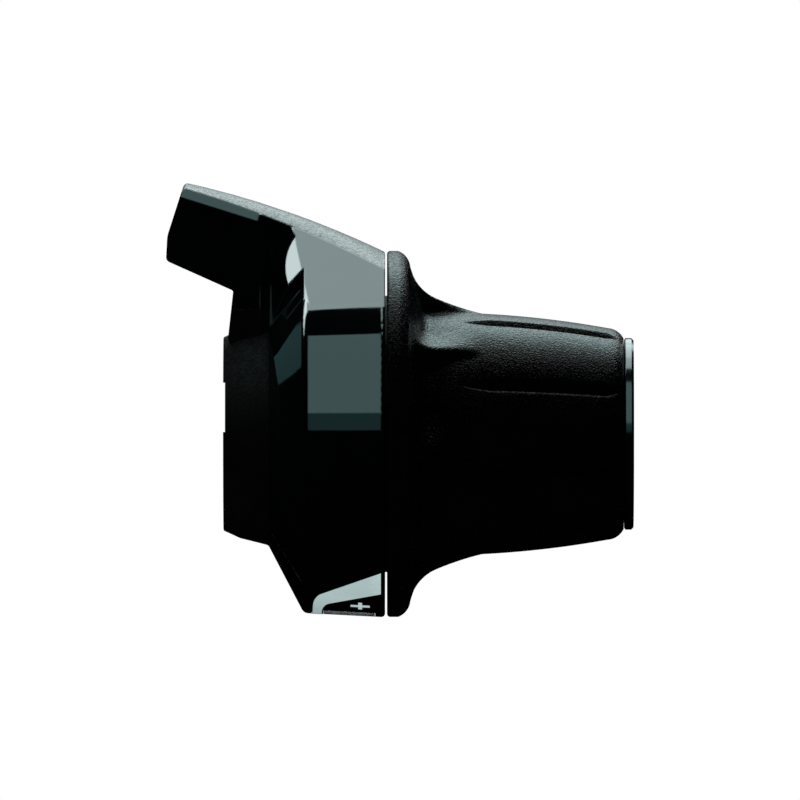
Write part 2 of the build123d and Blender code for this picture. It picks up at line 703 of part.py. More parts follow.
# Rubber grip: turned outline, one scoop and one groove for each lobe
rubber_in_r = neck_r + 0.1
rim = ((grip_x0 + 1.75, flange_r), (grip_x0 + 3.0, flange_r - 0.9), (grip_x0 + 3.65, flange_r - 2.5))
sweep_end = (grip_x0 + 7.95, barrel_r[0] + 2.4)
sweep_mid = (grip_x0 + 5.05, sweep_end[1] + 0.45 * (rim[2][1] - sweep_end[1]))
rib_mid = (grip_x0 + 11.05, barrel_r[0] + 1.13)
barrel = ((barrel_x[0], barrel_r[0]), (barrel_x[0] + 9.6, barrel_r[0] - 0.78), (barrel_x[1], barrel_r[1]))
grip_end = ((grip_x1 - 0.75, barrel_r[1] - 0.9), (grip_x1, barrel_r[1] - 1.85))
rubber_outline = make_face(
    [
        Polyline((grip_x0, rubber_in_r), (grip_x0, flange_r - 0.3), (grip_x0 + 0.3, flange_r), rim[0]),
        ThreePointArc(*rim),
        ThreePointArc(rim[2], sweep_mid, sweep_end),
        ThreePointArc(sweep_end, rib_mid, barrel[0]),
        ThreePointArc(*barrel),
        ThreePointArc(barrel[2], *grip_end),
        Polyline(grip_end[1], (grip_x1, core_r), (grip_x0 + 4.45, core_r), (grip_x0 + 4.45, rubber_in_r)),
        Line((grip_x0 + 4.45, rubber_in_r), (grip_x0, rubber_in_r)),
    ]
)
grip_rubber = revolve(Plane.XZ * rubber_outline, Axis.X) - core_fill
scoop = (
    (barrel_x[0] + 0.6, barrel_r[0] - 0.05),
    (grip_x0 + 5.45, barrel_r[0] + 0.3),
    (grip_x0 + 4.35, barrel_r[0] + 5.35),
    (grip_x0 + 5.45, flange_r + 2.4),
    (barrel_x[0] + 0.8, flange_r + 2.4),
)
groove_path = ThreePointArc(
    (barrel_x[0] - 2.4, 0, barrel_r[0]),
    (barrel_x[0] + 7.6, 0, barrel_r[0] - 1.4),
    (grip_x1 - 0.75, 0, barrel_r[1] - 1.3),
)
groove_plane = Plane(groove_path @ 0, x_dir=(0, 1, 0), z_dir=groove_path % 0)
groove_face = groove_plane * make_face(Polyline((0, 0), (1.6, 1.45), (-1.6, 1.45), close=True))
groove = sweep(groove_face, path=groove_path)
for lobe in range(lobes):
    turn = groove_angle + pitch * lobe
    scoop_ends = (turn - scoop_lag + scoop_half_angle, turn - scoop_lag - scoop_half_angle)
    grip_rubber = grip_rubber - sector(scoop, *scoop_ends, (0, 1.5, 0, 0, 0))
    grip_rubber = grip_rubber - height(turn) * groove

pieces = {
    "bracket": bracket,
    "front_cover": front_cover,
    "indicator_bezel": indicator_bezel,
    "indicator_window": indicator_window,
    "number_strip": number_strip,
    "clamp_bolt": clamp_bolt,
    "clamp_insert": clamp_insert,
    "cover_screws": Compound(cover_screws),
    "detent_spring": detent_spring,
    "cable_guide": cable_guide,
    "port_plug": port_plug,
    "wave_washer": wave_washer,
    "thrust_washer": thrust_washer,
    "end_ring": end_ring,
    "grip_core": grip_core,
    "grip_rubber": grip_rubber,
    "winder": winder,
    "index_ring": index_ring,
    "indicator_pointer": indicator_pointer,
    "dust_seal": dust_seal,
}
os.makedirs("parts", exist_ok=True)
for name, shape in pieces.items():
    export_step(shape, f"parts/{name}.step")
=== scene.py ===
# %% [markdown]
# # A twist grip shifter, dressed in Blender
# The solid pieces come ready-made at their real size and stay where they are. This lesson gives them
# their looks: the soft rubber grip, the printed marks, every finish, and a small studio round them.

# %% Load the solid pieces
import math
import bmesh
import bpy
import numpy as np
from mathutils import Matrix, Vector


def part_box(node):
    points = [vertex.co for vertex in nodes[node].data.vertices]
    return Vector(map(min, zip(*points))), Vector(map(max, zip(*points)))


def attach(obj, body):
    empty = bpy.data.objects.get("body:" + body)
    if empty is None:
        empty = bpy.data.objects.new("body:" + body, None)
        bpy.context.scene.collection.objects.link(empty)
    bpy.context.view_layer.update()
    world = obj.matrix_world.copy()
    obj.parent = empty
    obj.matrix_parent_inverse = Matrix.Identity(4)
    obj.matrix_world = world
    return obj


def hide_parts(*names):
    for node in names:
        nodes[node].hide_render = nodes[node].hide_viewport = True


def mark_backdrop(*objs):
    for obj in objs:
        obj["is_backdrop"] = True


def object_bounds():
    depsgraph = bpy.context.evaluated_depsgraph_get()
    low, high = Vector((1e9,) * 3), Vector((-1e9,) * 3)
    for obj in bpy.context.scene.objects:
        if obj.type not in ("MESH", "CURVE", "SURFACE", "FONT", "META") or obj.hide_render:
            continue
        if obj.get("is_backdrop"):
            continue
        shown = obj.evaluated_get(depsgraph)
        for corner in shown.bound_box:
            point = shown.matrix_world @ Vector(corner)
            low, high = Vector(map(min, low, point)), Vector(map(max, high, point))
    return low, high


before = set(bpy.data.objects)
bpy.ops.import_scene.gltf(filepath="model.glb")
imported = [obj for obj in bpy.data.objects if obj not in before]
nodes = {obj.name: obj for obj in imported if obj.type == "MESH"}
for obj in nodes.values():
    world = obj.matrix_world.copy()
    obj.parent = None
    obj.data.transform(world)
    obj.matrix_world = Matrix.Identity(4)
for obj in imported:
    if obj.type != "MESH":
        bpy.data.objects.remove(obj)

MM = 0.001
for leftover in ("Cube", "Light", "Camera"):
    if leftover in bpy.data.objects:
        bpy.data.objects.remove(bpy.data.objects[leftover])
solid_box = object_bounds()
print("solid pieces:", len(nodes))
print("box in mm:", [round(side / MM, 2) for side in solid_box[1] - solid_box[0]])

# %% [markdown]
# ## The camera
# The picture was taken square to the handlebar from far away, so nothing shows perspective. An
# orthographic camera could do that too, but a far camera with a long lens is what a photographer
# uses, and it keeps the other views free of distortion as well. One scale, in pixels per millimetre,
# and the place of the picture's middle are all that it needs.

# %% Set up the camera
FRAME_PX = 800
PX_PER_MM = 6.4
BAR_AXIS_PX = 433.9
CLAMP_FACE_PX = 223.5
CAMERA_DISTANCE = 5.0
middle_x = (FRAME_PX / 2 - CLAMP_FACE_PX) / PX_PER_MM * MM
middle_z = (BAR_AXIS_PX - FRAME_PX / 2) / PX_PER_MM * MM

camera_data = bpy.data.cameras.new("side_camera")
camera_data.sensor_width = 36.0
camera_data.lens = camera_data.sensor_width * CAMERA_DISTANCE / (FRAME_PX / PX_PER_MM * MM)
camera = bpy.data.objects.new("side_camera", camera_data)
camera.location = (middle_x, -CAMERA_DISTANCE, middle_z)
camera.rotation_euler = (math.radians(90), 0, 0)
bpy.context.scene.collection.objects.link(camera)
bpy.context.scene.camera = camera
print("lens in mm:", round(camera_data.lens, 1))

# %% [markdown]
# ## Shared effects
# Moulded plastic and rubber carry the grain of a textured mould: round bumps about a quarter of a
# millimetre across. As real geometry they would be far too many faces, so a bump texture draws them.
# Cells of a Voronoi texture give the bumps, a little noise keeps them uneven, and each cell also gets
# a speckle of its own. Many materials share this, so it is a node group that is built once.

# %% Build the mould stipple
def effect_group(name, inputs, outputs):
    """Empty shader group with named number inputs and outputs; every effect also takes a place."""
    group = bpy.data.node_groups.new(name, "ShaderNodeTree")
    group.interface.new_socket("Place", in_out="INPUT", socket_type="NodeSocketVector")
    for label, value in inputs.items():
        socket = group.interface.new_socket(label, in_out="INPUT", socket_type="NodeSocketFloat")
        socket.default_value = value
    for label in outputs:
        group.interface.new_socket(label, in_out="OUTPUT", socket_type="NodeSocketFloat")
    return group, group.nodes.new("NodeGroupInput").outputs, group.nodes.new("NodeGroupOutput").inputs


def add(tree, kind, links=(), **values):
    """New node with its inputs set by name, and with links from other sockets."""
    node = tree.nodes.new(kind)
    for label, value in values.items():
        node.inputs[label.replace("_", " ")].default_value = value
    for label, source in dict(links).items():
        tree.links.new(source, node.inputs[label])
    return node


def sum_of(tree, first, second, share):
    """First value plus a share of the second."""
    node = tree.nodes.new("ShaderNodeMath")
    node.operation = "MULTIPLY_ADD"
    tree.links.new(second, node.inputs[0])
    node.inputs[1].default_value = share
    tree.links.new(first, node.inputs[2])
    return node.outputs[0]


CRUMB_SHARE = 0.6
stipple, start, end = effect_group("mould_stipple", {"Grains": 2600.0}, ["Height", "Speckle"])
grain_space = {"Vector": start["Place"], "Scale": start["Grains"]}
cells = add(stipple, "ShaderNodeTexVoronoi", grain_space)
cells.feature = "SMOOTH_F1"
crumbs = add(stipple, "ShaderNodeTexNoise", grain_space, Detail=2.0)
bumps = sum_of(stipple, cells.outputs["Distance"], crumbs.outputs["Fac"], CRUMB_SHARE)
stipple.links.new(bumps, end["Height"])
each_cell = add(stipple, "ShaderNodeSeparateColor", {"Color": cells.outputs["Color"]})
speckle = add(stipple, "ShaderNodeMapRange", {"Value": each_cell.outputs["Red"]}, To_Min=-0.5, To_Max=0.5)
stipple.links.new(speckle.outputs["Result"], end["Speckle"])
print("effect:", stipple.name)

# %% [markdown]
# Every used surface has faint patches from fingers and dust. They could be painted by hand, but two
# sizes of noise give them on any shape, and the mask only nudges colour and roughness.
# Turned metal has fine lines that run round the piece. Noise that is stretched across the axis gives
# such lines with nothing to unwrap.

# %% Build the handling and turning marks
FINE_SHARE = 0.35
handling, start, end = effect_group("handling", {"Patches": 120.0}, ["Mask"])
patch_space = {"Vector": start["Place"], "Scale": start["Patches"]}
broad = add(handling, "ShaderNodeTexNoise", patch_space, Detail=3.0)
fine = add(handling, "ShaderNodeTexNoise", {"Vector": start["Place"]}, Scale=1900.0, Detail=2.0)
mixed = sum_of(handling, broad.outputs["Fac"], fine.outputs["Fac"], FINE_SHARE)
spread = add(handling, "ShaderNodeMapRange", {"Value": mixed}, From_Min=0.5, From_Max=0.85)
handling.links.new(spread.outputs["Result"], end["Mask"])

turning, start, end = effect_group("turning_marks", {"Lines": 9000.0}, ["Height"])
stretch = add(turning, "ShaderNodeMapping", {"Vector": start["Place"]}, Scale=(0.02, 0.02, 1.0))
line_space = {"Vector": stretch.outputs[0], "Scale": start["Lines"]}
lines = add(turning, "ShaderNodeTexNoise", line_space, Detail=2.0)
turning.links.new(lines.outputs["Fac"], end["Height"])
print("effects:", handling.name, turning.name)

# %% [markdown]
# ## One recipe for moulded finishes
# The polished front cover, the satin bracket and the rubber differ only in a few numbers: two near
# colours, how rough they are, and how coarse and deep the stipple is. Each could have its own tree,
# but one function builds them all and keeps them alike. The bevel node rounds the light on sharp
# edges, as the small radius of a real mould does. The cover comes first: polished, nearly black.

# %% Write the recipe and polish the cover
UM = 1e-6


def place_group(tree, group, place, **values):
    """Put a shared effect into a material."""
    node = tree.nodes.new("ShaderNodeGroup")
    node.node_tree = group
    tree.links.new(place, node.inputs["Place"])
    for label, value in values.items():
        node.inputs[label].default_value = value
    return node


def two_tone(tree, mask, dark, light):
    """Colour mix that goes from dark to light with a mask."""
    colour = tree.nodes.new("ShaderNodeMix")
    colour.data_type = "RGBA"
    colour.inputs[6].default_value = (*dark, 1.0)
    colour.inputs[7].default_value = (*light, 1.0)
    tree.links.new(mask, colour.inputs[0])
    return colour


def moulded(
    name, dark, light, roughness, grains=2600.0, depth_um=0.0, edge_um=120.0, specular=0.5, sparkle=0.0
):
    """Moulded plastic or rubber from two near colours, a roughness range and a stipple."""
    material = bpy.data.materials.new(name)
    material.use_nodes = True
    tree = material.node_tree
    shader = tree.nodes["Principled BSDF"]
    place = tree.nodes.new("ShaderNodeTexCoord").outputs["Object"]
    mask = place_group(tree, handling, place, Patches=120.0).outputs["Mask"]
    tree.links.new(two_tone(tree, mask, dark, light).outputs[2], shader.inputs["Base Color"])
    rough = add(tree, "ShaderNodeMapRange", {"Value": mask}, To_Min=roughness[0], To_Max=roughness[1])
    grain = place_group(tree, stipple, place, Grains=grains)
    speckled = sum_of(tree, rough.outputs["Result"], grain.outputs["Speckle"], sparkle)
    tree.links.new(speckled, shader.inputs["Roughness"])
    edge = add(tree, "ShaderNodeBevel", Radius=edge_um * UM)
    height = {"Height": grain.outputs["Height"], "Normal": edge.outputs["Normal"]}
    bump = add(tree, "ShaderNodeBump", height, Distance=depth_um * UM)
    tree.links.new(bump.outputs["Normal"], shader.inputs["Normal"])
    shader.inputs["Specular IOR Level"].default_value = specular
    return material


polished_black = moulded(
    "polished_black",
    (0.0014, 0.0017, 0.0018),
    (0.0024, 0.0028, 0.003),
    (0.025, 0.05),
    depth_um=0.3,
    edge_um=330.0,
    specular=1.0,
)
print("finish:", polished_black.name)

# %% [markdown]
# The end ring is a little less polished than the cover. The bracket's satin and the rubber have a
# stipple deep enough to break up the light, and their speckle makes single grains glint. A deeper
# bump alone would only look dull, so part of the effect is in the roughness.

# %% Mix the other black finishes
half_gloss = moulded(
    "half_gloss_black",
    (0.002, 0.0024, 0.0025),
    (0.004, 0.0045, 0.0048),
    (0.11, 0.17),
    depth_um=1.0,
    specular=1.0,
)
satin_black = moulded(
    "satin_black",
    (0.004, 0.0045, 0.0048),
    (0.007, 0.0076, 0.008),
    (0.33, 0.37),
    grains=4200.0,
    depth_um=42.0,
    specular=0.46,
    sparkle=0.4,
)
grip_finish = moulded(
    "stippled_rubber",
    (0.002, 0.0023, 0.0025),
    (0.004, 0.0045, 0.0048),
    (0.26, 0.34),
    grains=3900.0,
    depth_um=85.0,
    specular=0.28,
    sparkle=0.4,
)
print("finishes:", half_gloss.name, satin_black.name, grip_finish.name)

# %% [markdown]
# The inner pieces are plain mouldings: soft seals, a dark grey core, low-friction nylon in its natural
# pale colour, a red pointer and a black number strip. The print and the window's frame are pale paint,
# which is only a thin moulded skin to the eye, so the same recipe serves them.

# %% Mix the inner and painted finishes
soft_seal = moulded("soft_seal", (0.01, 0.01, 0.01), (0.017, 0.017, 0.017), (0.5, 0.65), depth_um=12.0)
core_grey = moulded("core_grey", (0.022, 0.023, 0.024), (0.03, 0.031, 0.032), (0.42, 0.55), depth_um=10.0)
natural_nylon = moulded("natural_nylon", (0.66, 0.65, 0.6), (0.74, 0.73, 0.68), (0.35, 0.5), depth_um=6.0)
pointer_red = moulded("pointer_red", (0.7, 0.06, 0.02), (0.78, 0.09, 0.035), (0.2, 0.32), depth_um=3.0)
strip_black = moulded("strip_black", (0.008, 0.009, 0.01), (0.013, 0.014, 0.015), (0.45, 0.6), depth_um=5.0)
pale_print = moulded("pale_print", (0.6, 0.66, 0.66), (0.68, 0.74, 0.74), (0.4, 0.55), depth_um=3.0)
silver_paint = moulded(
    "silver_paint", (0.52, 0.59, 0.59), (0.62, 0.69, 0.69), (0.3, 0.42), grains=5200.0, depth_um=5.0
)
plain_finishes = (soft_seal, core_grey, natural_nylon, pointer_red, strip_black, pale_print, silver_paint)
print("finishes:", [finish.name for finish in plain_finishes])

# %% [markdown]
# The bracket's roof is satin, but its clamp collar low down is coarse and dull. Two materials would
# need two sets of faces, and the height of a point tells the two apart just as well: below the arm
# the roughness rises smoothly to that of the coarse mould.

# %% Dull the collar
COLLAR_TOP, ARM_FOOT = 0.0165, 0.021
EXTRA_ROUGHNESS = 0.5
tree = satin_black.node_tree
place = tree.nodes["Texture Coordinate"].outputs["Object"]
height = add(tree, "ShaderNodeSeparateXYZ", {"Vector": place}).outputs["Z"]
dulling = add(tree, "ShaderNodeMapRange", {"Value": height}, To_Min=EXTRA_ROUGHNESS, To_Max=0.0)
dulling.inputs["From Min"].default_value = COLLAR_TOP
dulling.inputs["From Max"].default_value = ARM_FOOT
dulling.interpolation_type = "SMOOTHSTEP"
shader = tree.nodes["Principled BSDF"]
satin_rough = shader.inputs["Roughness"].links[0].from_socket
tree.links.new(sum_of(tree, satin_rough, dulling.outputs["Result"], 1.0), shader.inputs["Roughness"])
print("collar dulled below", ARM_FOOT / MM, "mm")

# %% [markdown]
# ## Metal
# The screws and springs are plated or bare steel, and the clamp's threaded insert is brass. Metal has
# no mould grain, so these materials take the turning marks in place of the stipple, and the handling
# mask makes their shine patchy.

# %% Mix the metals
def turned_metal(name, dark, light, roughness):
    """Machined metal with fine lines and patchy shine."""
    material = bpy.data.materials.new(name)
    material.use_nodes = True
    tree = material.node_tree
    shader = tree.nodes["Principled BSDF"]
    shader.inputs["Metallic"].default_value = 1.0
    place = tree.nodes.new("ShaderNodeTexCoord").outputs["Object"]
    mask = place_group(tree, handling, place, Patches=300.0).outputs["Mask"]
    tree.links.new(two_tone(tree, mask, dark, light).outputs[2], shader.inputs["Base Color"])
    rough = add(tree, "ShaderNodeMapRange", {"Value": mask}, To_Min=roughness[0], To_Max=roughness[1])
    tree.links.new(rough.outputs["Result"], shader.inputs["Roughness"])
    marks = place_group(tree, turning, place)
    bump = add(tree, "ShaderNodeBump", {"Height": marks.outputs["Height"]}, Distance=4 * UM)
    tree.links.new(bump.outputs["Normal"], shader.inputs["Normal"])
    return material


zinc_steel = turned_metal("zinc_steel", (0.46, 0.46, 0.45), (0.58, 0.58, 0.57), (0.25, 0.4))
spring_steel = turned_metal("spring_steel", (0.42, 0.42, 0.42), (0.55, 0.55, 0.54), (0.2, 0.34))
turned_brass = turned_metal("turned_brass", (0.58, 0.4, 0.17), (0.7, 0.51, 0.24), (0.22, 0.36))
print("metals:", zinc_steel.name, spring_steel.name, turned_brass.name)

# %% [markdown]
# ## The clear window
# The window is a bent sheet of clear plastic. Alpha alone would look like a hole with a veil, so the
# shader has full transmission with the refraction of acrylic. Seen along the sheet, such plastic looks
# darker, because the light crosses more of it, and Layer Weight gives that.

# %% Mix the clear plastic
CLEAR, CLEAREST, SMOKE = (0.64, 0.67, 0.68), (0.7, 0.73, 0.74), (0.08, 0.09, 0.095)
clear_plastic = moulded("clear_plastic", CLEAR, CLEAREST, (0.02, 0.05), depth_um=0.3, edge_um=60.0)
tree = clear_plastic.node_tree
shader = tree.nodes["Principled BSDF"]
shader.inputs["Transmission Weight"].default_value = 1.0
shader.inputs["IOR"].default_value = 1.49
along_sheet = add(tree, "ShaderNodeLayerWeight", Blend=0.5).outputs["Facing"]
shade = add(tree, "ShaderNodeMapRange", {"Value": along_sheet}, From_Min=0.45, From_Max=0.65)
tint = two_tone(tree, shade.outputs["Result"], CLEAR, SMOKE)
tree.links.new(shader.inputs["Base Color"].links[0].from_socket, tint.inputs[6])
tree.links.new(tint.outputs[2], shader.inputs["Base Color"])
print("window:", clear_plastic.name)

# %% [markdown]
# ## Dress the solid pieces
# Most solid pieces already have the right shape, so they only get a finish. They could be remodelled
# as Blender meshes, but their smooth surfaces carry exact normals, and a new material in the first
# slot leaves those alone.

# %% Give every solid piece its finish
finishes = {
    "bracket": satin_black,
    "front_cover": polished_black,
    "indicator_bezel": silver_paint,
    "indicator_window": clear_plastic,
    "number_strip": strip_black,
    "clamp_bolt": zinc_steel,
    "clamp_insert": turned_brass,
    "cover_screws": zinc_steel,
    "detent_spring": spring_steel,
    "cable_guide": natural_nylon,
    "port_plug": soft_seal,
    "wave_washer": spring_steel,
    "thrust_washer": natural_nylon,
    "end_ring": half_gloss,
    "grip_core": core_grey,
    "grip_rubber": grip_finish,
    "winder": natural_nylon,
    "index_ring": spring_steel,
    "indicator_pointer": pointer_red,
    "dust_seal": soft_seal,
}
for name, finish in finishes.items():
    nodes[name].data.materials.clear()
    nodes[name].data.materials.append(finish)
print("dressed:", len(finishes), "pieces")

# %% [markdown]
# ## The rubber grip
# The grip is eight equal lobes. Along the top of each lobe a rib runs up into the flange, with a
# scoop on both sides of it, and a V-groove parts it from the next lobe. It could be sculpted, or cut
# with booleans, but a shape that follows a rule is easiest to draw point by point: two outlines, one
# over the rib and one down in the scoop, are blended across one lobe.

# %% Draw the two outlines of one lobe
grip_low, grip_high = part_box("grip_rubber")
GRIP_X0 = grip_low.x / MM
GRIP_X1 = grip_high.x / MM
FLANGE_R = grip_high.z / MM
CORE_R = 13.9
NECK_R = 21.7
FLANGE_IN = (GRIP_X0 + 0.65, GRIP_X0 + 2.05, FLANGE_R - 1.8)
BARREL = ((GRIP_X0 + 14.85, 18.8), (GRIP_X0 + 24.45, 18.02), (GRIP_X1 - 2.35, 16.55))
END_X = GRIP_X1 + 0.17


def arc(first, middle, last, count):
    """Points of the circular arc through three points, without the first one."""
    (ax, ay), (bx, by), (cx, cy) = first, middle, last
    d = 2 * (ax * (by - cy) + bx * (cy - ay) + cx * (ay - by))
    a2, b2, c2 = ax * ax + ay * ay, bx * bx + by * by, cx * cx + cy * cy
    ux = (a2 * (by - cy) + b2 * (cy - ay) + c2 * (ay - by)) / d
    uy = (a2 * (cx - bx) + b2 * (ax - cx) + c2 * (bx - ax)) / d
    angles = np.unwrap([math.atan2(y - uy, x - ux) for x, y in (first, middle, last)])
    steps = np.linspace(angles[0], angles[2], count + 1)[1:]
    radius = math.hypot(ax - ux, ay - uy)
    return [(ux + radius * math.cos(t), uy + radius * math.sin(t)) for t in steps]


def line(first, last, count):
    """Evenly spaced points of a straight run, without the first one."""
    steps = np.linspace(0, 1, count + 1)[1:]
    return [tuple(np.add(first, np.multiply(t, np.subtract(last, first)))) for t in steps]


rim = ((GRIP_X0 + 1.75, FLANGE_R), (GRIP_X0 + 3.0, FLANGE_R - 0.9), (GRIP_X0 + 3.65, FLANGE_R - 2.5))
face = [(GRIP_X0, NECK_R)]
face += line(face[-1], (GRIP_X0, FLANGE_R - 0.5), 8)
face += arc(face[-1], (GRIP_X0 + 0.15, FLANGE_R - 0.15), (GRIP_X0 + 0.5, FLANGE_R), 6)
face += line(face[-1], rim[0], 5)
face += arc(*rim, 12)

over_rib = arc(rim[2], (GRIP_X0 + 5.05, 23.4), (GRIP_X0 + 7.95, 21.2), 24)
over_rib += arc(over_rib[-1], (GRIP_X0 + 11.05, 19.93), BARREL[0], 16)
in_scoop = line(rim[2], (GRIP_X0 + 5.2, 21.2), 10)
in_scoop += arc(in_scoop[-1], (GRIP_X0 + 5.8, 19.75), (GRIP_X0 + 7.2, 19.1), 14)
in_scoop += line(in_scoop[-1], BARREL[0], 16)

barrel = arc(*BARREL, 40)
barrel += arc(BARREL[2], (END_X - 0.75, 15.85), (END_X, 14.9), 12)
inside = line(barrel[-1], (END_X, CORE_R), 2)
inside += [(GRIP_X0 + 5.45, CORE_R), (FLANGE_IN[1], CORE_R + 3.1)]
inside += [(FLANGE_IN[1], FLANGE_IN[2]), (FLANGE_IN[0], FLANGE_IN[2]), (FLANGE_IN[0], NECK_R)]
rib = np.array(face + over_rib + barrel + inside)
scoop = np.array(face + in_scoop + barrel + inside)
print("outline points:", len(rib))

# %% [markdown]
# The blend gives the rib its section. Below the ridge it falls off steeply, and above the ridge it
# runs out slowly, so that the scoop's floor stays open to the light. The ridge is not straight: it
# leans further down the closer it comes to the flange. An even blend would give a rounder rib, which
# mirrors a soft band in place of the crisp edge that a moulded rib has.

# %% Blend the outlines across one lobe
LOBES = 8
HALF_LOBE = 180 / LOBES
RIB_UP, RIB_LOW, RIB_ROUND = 20.0, (0.8, 5.4), 0.1
RIB_LEAN = (9.5, 1.5)
LEAN_ENDS = (GRIP_X0 + 4, GRIP_X0 + 15)


def ease(value, low, high):
    """Smooth step from 0 at low to 1 at high."""
    t = np.clip((value - low) / (high - low), 0, 1)
    return t * t * (3 - 2 * t)


columns = np.concatenate(
    [
        np.linspace(-HALF_LOBE, -17.5, 13),
        np.linspace(-16.8, 6.4, 36),
        np.linspace(7.4, 16.4, 10),
        np.linspace(17.5, 20.3, 5),
        np.linspace(20.6, HALF_LOBE, 11),
    ]
)
lean = RIB_LEAN[0] + (RIB_LEAN[1] - RIB_LEAN[0]) * ease(rib[:, 0], *LEAN_ENDS)
off_rib = columns[None, :] + lean[:, None]
ramp = np.hypot(np.clip(off_rib / RIB_UP, 0, 1), RIB_ROUND) - RIB_ROUND
upper_side = (1 - ramp / (math.hypot(1, RIB_ROUND) - RIB_ROUND)) ** 2
share = np.where(off_rib > 0, upper_side, 1 - ease(-off_rib, *RIB_LOW))
grid = scoop[:, None, :] + share[:, :, None] * (rib - scoop)[:, None, :]
x, r = grid[..., 0], grid[..., 1]
print("columns across one lobe:", len(columns))

# %% [markdown]
# The crown of the lobe and the groove are taken off the radius, and both fade out before the ends.
# The groove's upper wall is straight and hangs over, so it stays dark. Its lower wall is curved, so
# its lip catches a thin line of light. The lobe is then a strip of quads from groove to groove.

# %% Cut the groove and build one lobe
LOBE_CENTRE = 45.8
CROWN = 0.3
CROWN_ENDS = (GRIP_X0 + 8, GRIP_X0 + 15)
GROOVE_DEPTH, GROOVE_HANG, GROOVE_STEEP = 1.05, 1.6, 0.95
GROOVE_X0, GROOVE_RUN_IN = GRIP_X0 + 12, 4
GROOVE_X1, GROOVE_RUN_OUT = GRIP_X1 - 0.9, 1.6
outer_count = len(face) + len(over_rib) + len(barrel)
outside = (np.arange(len(rib)) < outer_count)[:, None]
crown_zone = ease(x, *CROWN_ENDS) * outside
run_in = np.clip((x - GROOVE_X0) / GROOVE_RUN_IN, 0, 1)
run_out = np.clip((GROOVE_X1 - x) / GROOVE_RUN_OUT, 0, 1)
groove_zone = run_in * run_out * outside
groove_half = np.where(columns < 0, GROOVE_HANG, GROOVE_STEEP)[None, :] * (0.25 + 0.75 * groove_zone)
from_groove = np.radians(HALF_LOBE - np.abs(columns))[None, :] * r
wall = np.clip(1 - from_groove / groove_half, 0, 1)
r = r - CROWN * crown_zone * (np.abs(columns) / HALF_LOBE)[None, :] ** 2
r = r - GROOVE_DEPTH * groove_zone * np.where(columns < 0, wall, wall**2)

turn = np.radians(LOBE_CENTRE + columns)[None, :]
points = np.stack([x, -r * np.cos(turn), r * np.sin(turn)], -1) * MM
rows, across = r.shape
index = np.arange(rows * across).reshape(rows, across)
next_row = np.roll(index, -1, axis=0)
corners = [index[:, :-1], index[:, 1:], next_row[:, 1:], next_row[:, :-1]]
quads = np.stack(corners, -1).reshape(-1, 4)
lobe_mesh = bpy.data.meshes.new("grip_lobe")
lobe_mesh.from_pydata(points.reshape(-1, 3).tolist(), [], quads.tolist())
print("one lobe:", len(lobe_mesh.polygons), "quads")

# %% [markdown]
# ## A ring of copies
# The lobe repeats round the handlebar. An Array modifier round an empty could do that, but Geometry
# Nodes need no helper object, and one tree serves every ring in this lesson: it turns copies of
# whatever it is given about an axis, joins them where they meet, keeps edges sharper than a limit,
# and hands over one plain mesh.

# %% Build the ring of copies
SHARP_ANGLE = math.radians(50)
SEAM = 2e-6
ring_tree = bpy.data.node_groups.new("ring_of_copies", "GeometryNodeTree")
ring_tree.interface.new_socket("Geometry", in_out="INPUT", socket_type="NodeSocketGeometry")
ring_inputs = {}
for label, kind in (("Copies", "Int"), ("Axis", "Vector"), ("Centre", "Vector"), ("Finish", "Material")):
    socket = ring_tree.interface.new_socket(label, in_out="INPUT", socket_type="NodeSocket" + kind)
    ring_inputs[label] = socket.identifier
ring_tree.interface.new_socket("Geometry", in_out="OUTPUT", socket_type="NodeSocketGeometry")

start = ring_tree.nodes.new("NodeGroupInput").outputs
step = ring_tree.nodes.new("ShaderNodeMath")
step.operation = "DIVIDE"
step.inputs[0].default_value = math.tau
ring_tree.links.new(start["Copies"], step.inputs[1])
angle = ring_tree.nodes.new("ShaderNodeMath")
angle.operation = "MULTIPLY"
ring_tree.links.new(ring_tree.nodes.new("GeometryNodeInputIndex").outputs[0], angle.inputs[0])
ring_tree.links.new(step.outputs[0], angle.inputs[1])
spin = add(ring_tree, "FunctionNodeAxisAngleToRotation", {"Axis": start["Axis"], "Angle": angle.outputs[0]})
places = add(ring_tree, "GeometryNodePoints", {"Count": start["Copies"], "Position": start["Centre"]})
set_out = {"Points": places.outputs[0], "Instance": start["Geometry"], "Rotation": spin.outputs[0]}
copies = add(ring_tree, "GeometryNodeInstanceOnPoints", set_out)
real = add(ring_tree, "GeometryNodeRealizeInstances", {"Geometry": copies.outputs[0]})
joined = add(ring_tree, "GeometryNodeMergeByDistance", {"Geometry": real.outputs[0]}, Distance=SEAM)
soft = add(ring_tree, "GeometryNodeSetShadeSmooth", {"Geometry": joined.outputs[0]})
bend = ring_tree.nodes.new("GeometryNodeInputMeshEdgeAngle")
crisp = ring_tree.nodes.new("FunctionNodeCompare")
crisp.operation = "GREATER_THAN"
ring_tree.links.new(bend.outputs["Unsigned Angle"], crisp.inputs[0])
crisp.inputs[1].default_value = SHARP_ANGLE
sharp_edges = {"Geometry": soft.outputs[0], "Selection": crisp.outputs[0]}
sharp = add(ring_tree, "GeometryNodeSetShadeSmooth", sharp_edges)
sharp.domain = "EDGE"
sharp.inputs["Shade Smooth"].default_value = False
coat = add(ring_tree, "GeometryNodeSetMaterial", {"Geometry": sharp.outputs[0], "Material": start["Finish"]})
ring_tree.links.new(coat.outputs[0], ring_tree.nodes.new("NodeGroupOutput").inputs[0])
print("ring inputs:", list(ring_inputs))

# %% [markdown]
# On the shifter the grip is one piece of rubber, so the ring of lobes becomes one object. The tree works
# through a modifier, whose inputs are set by their identifiers. It could stay on the object, but its
# result is made a plain mesh, so that nothing is left to evaluate later. The new grip stands for the
# solid one and turns with it.

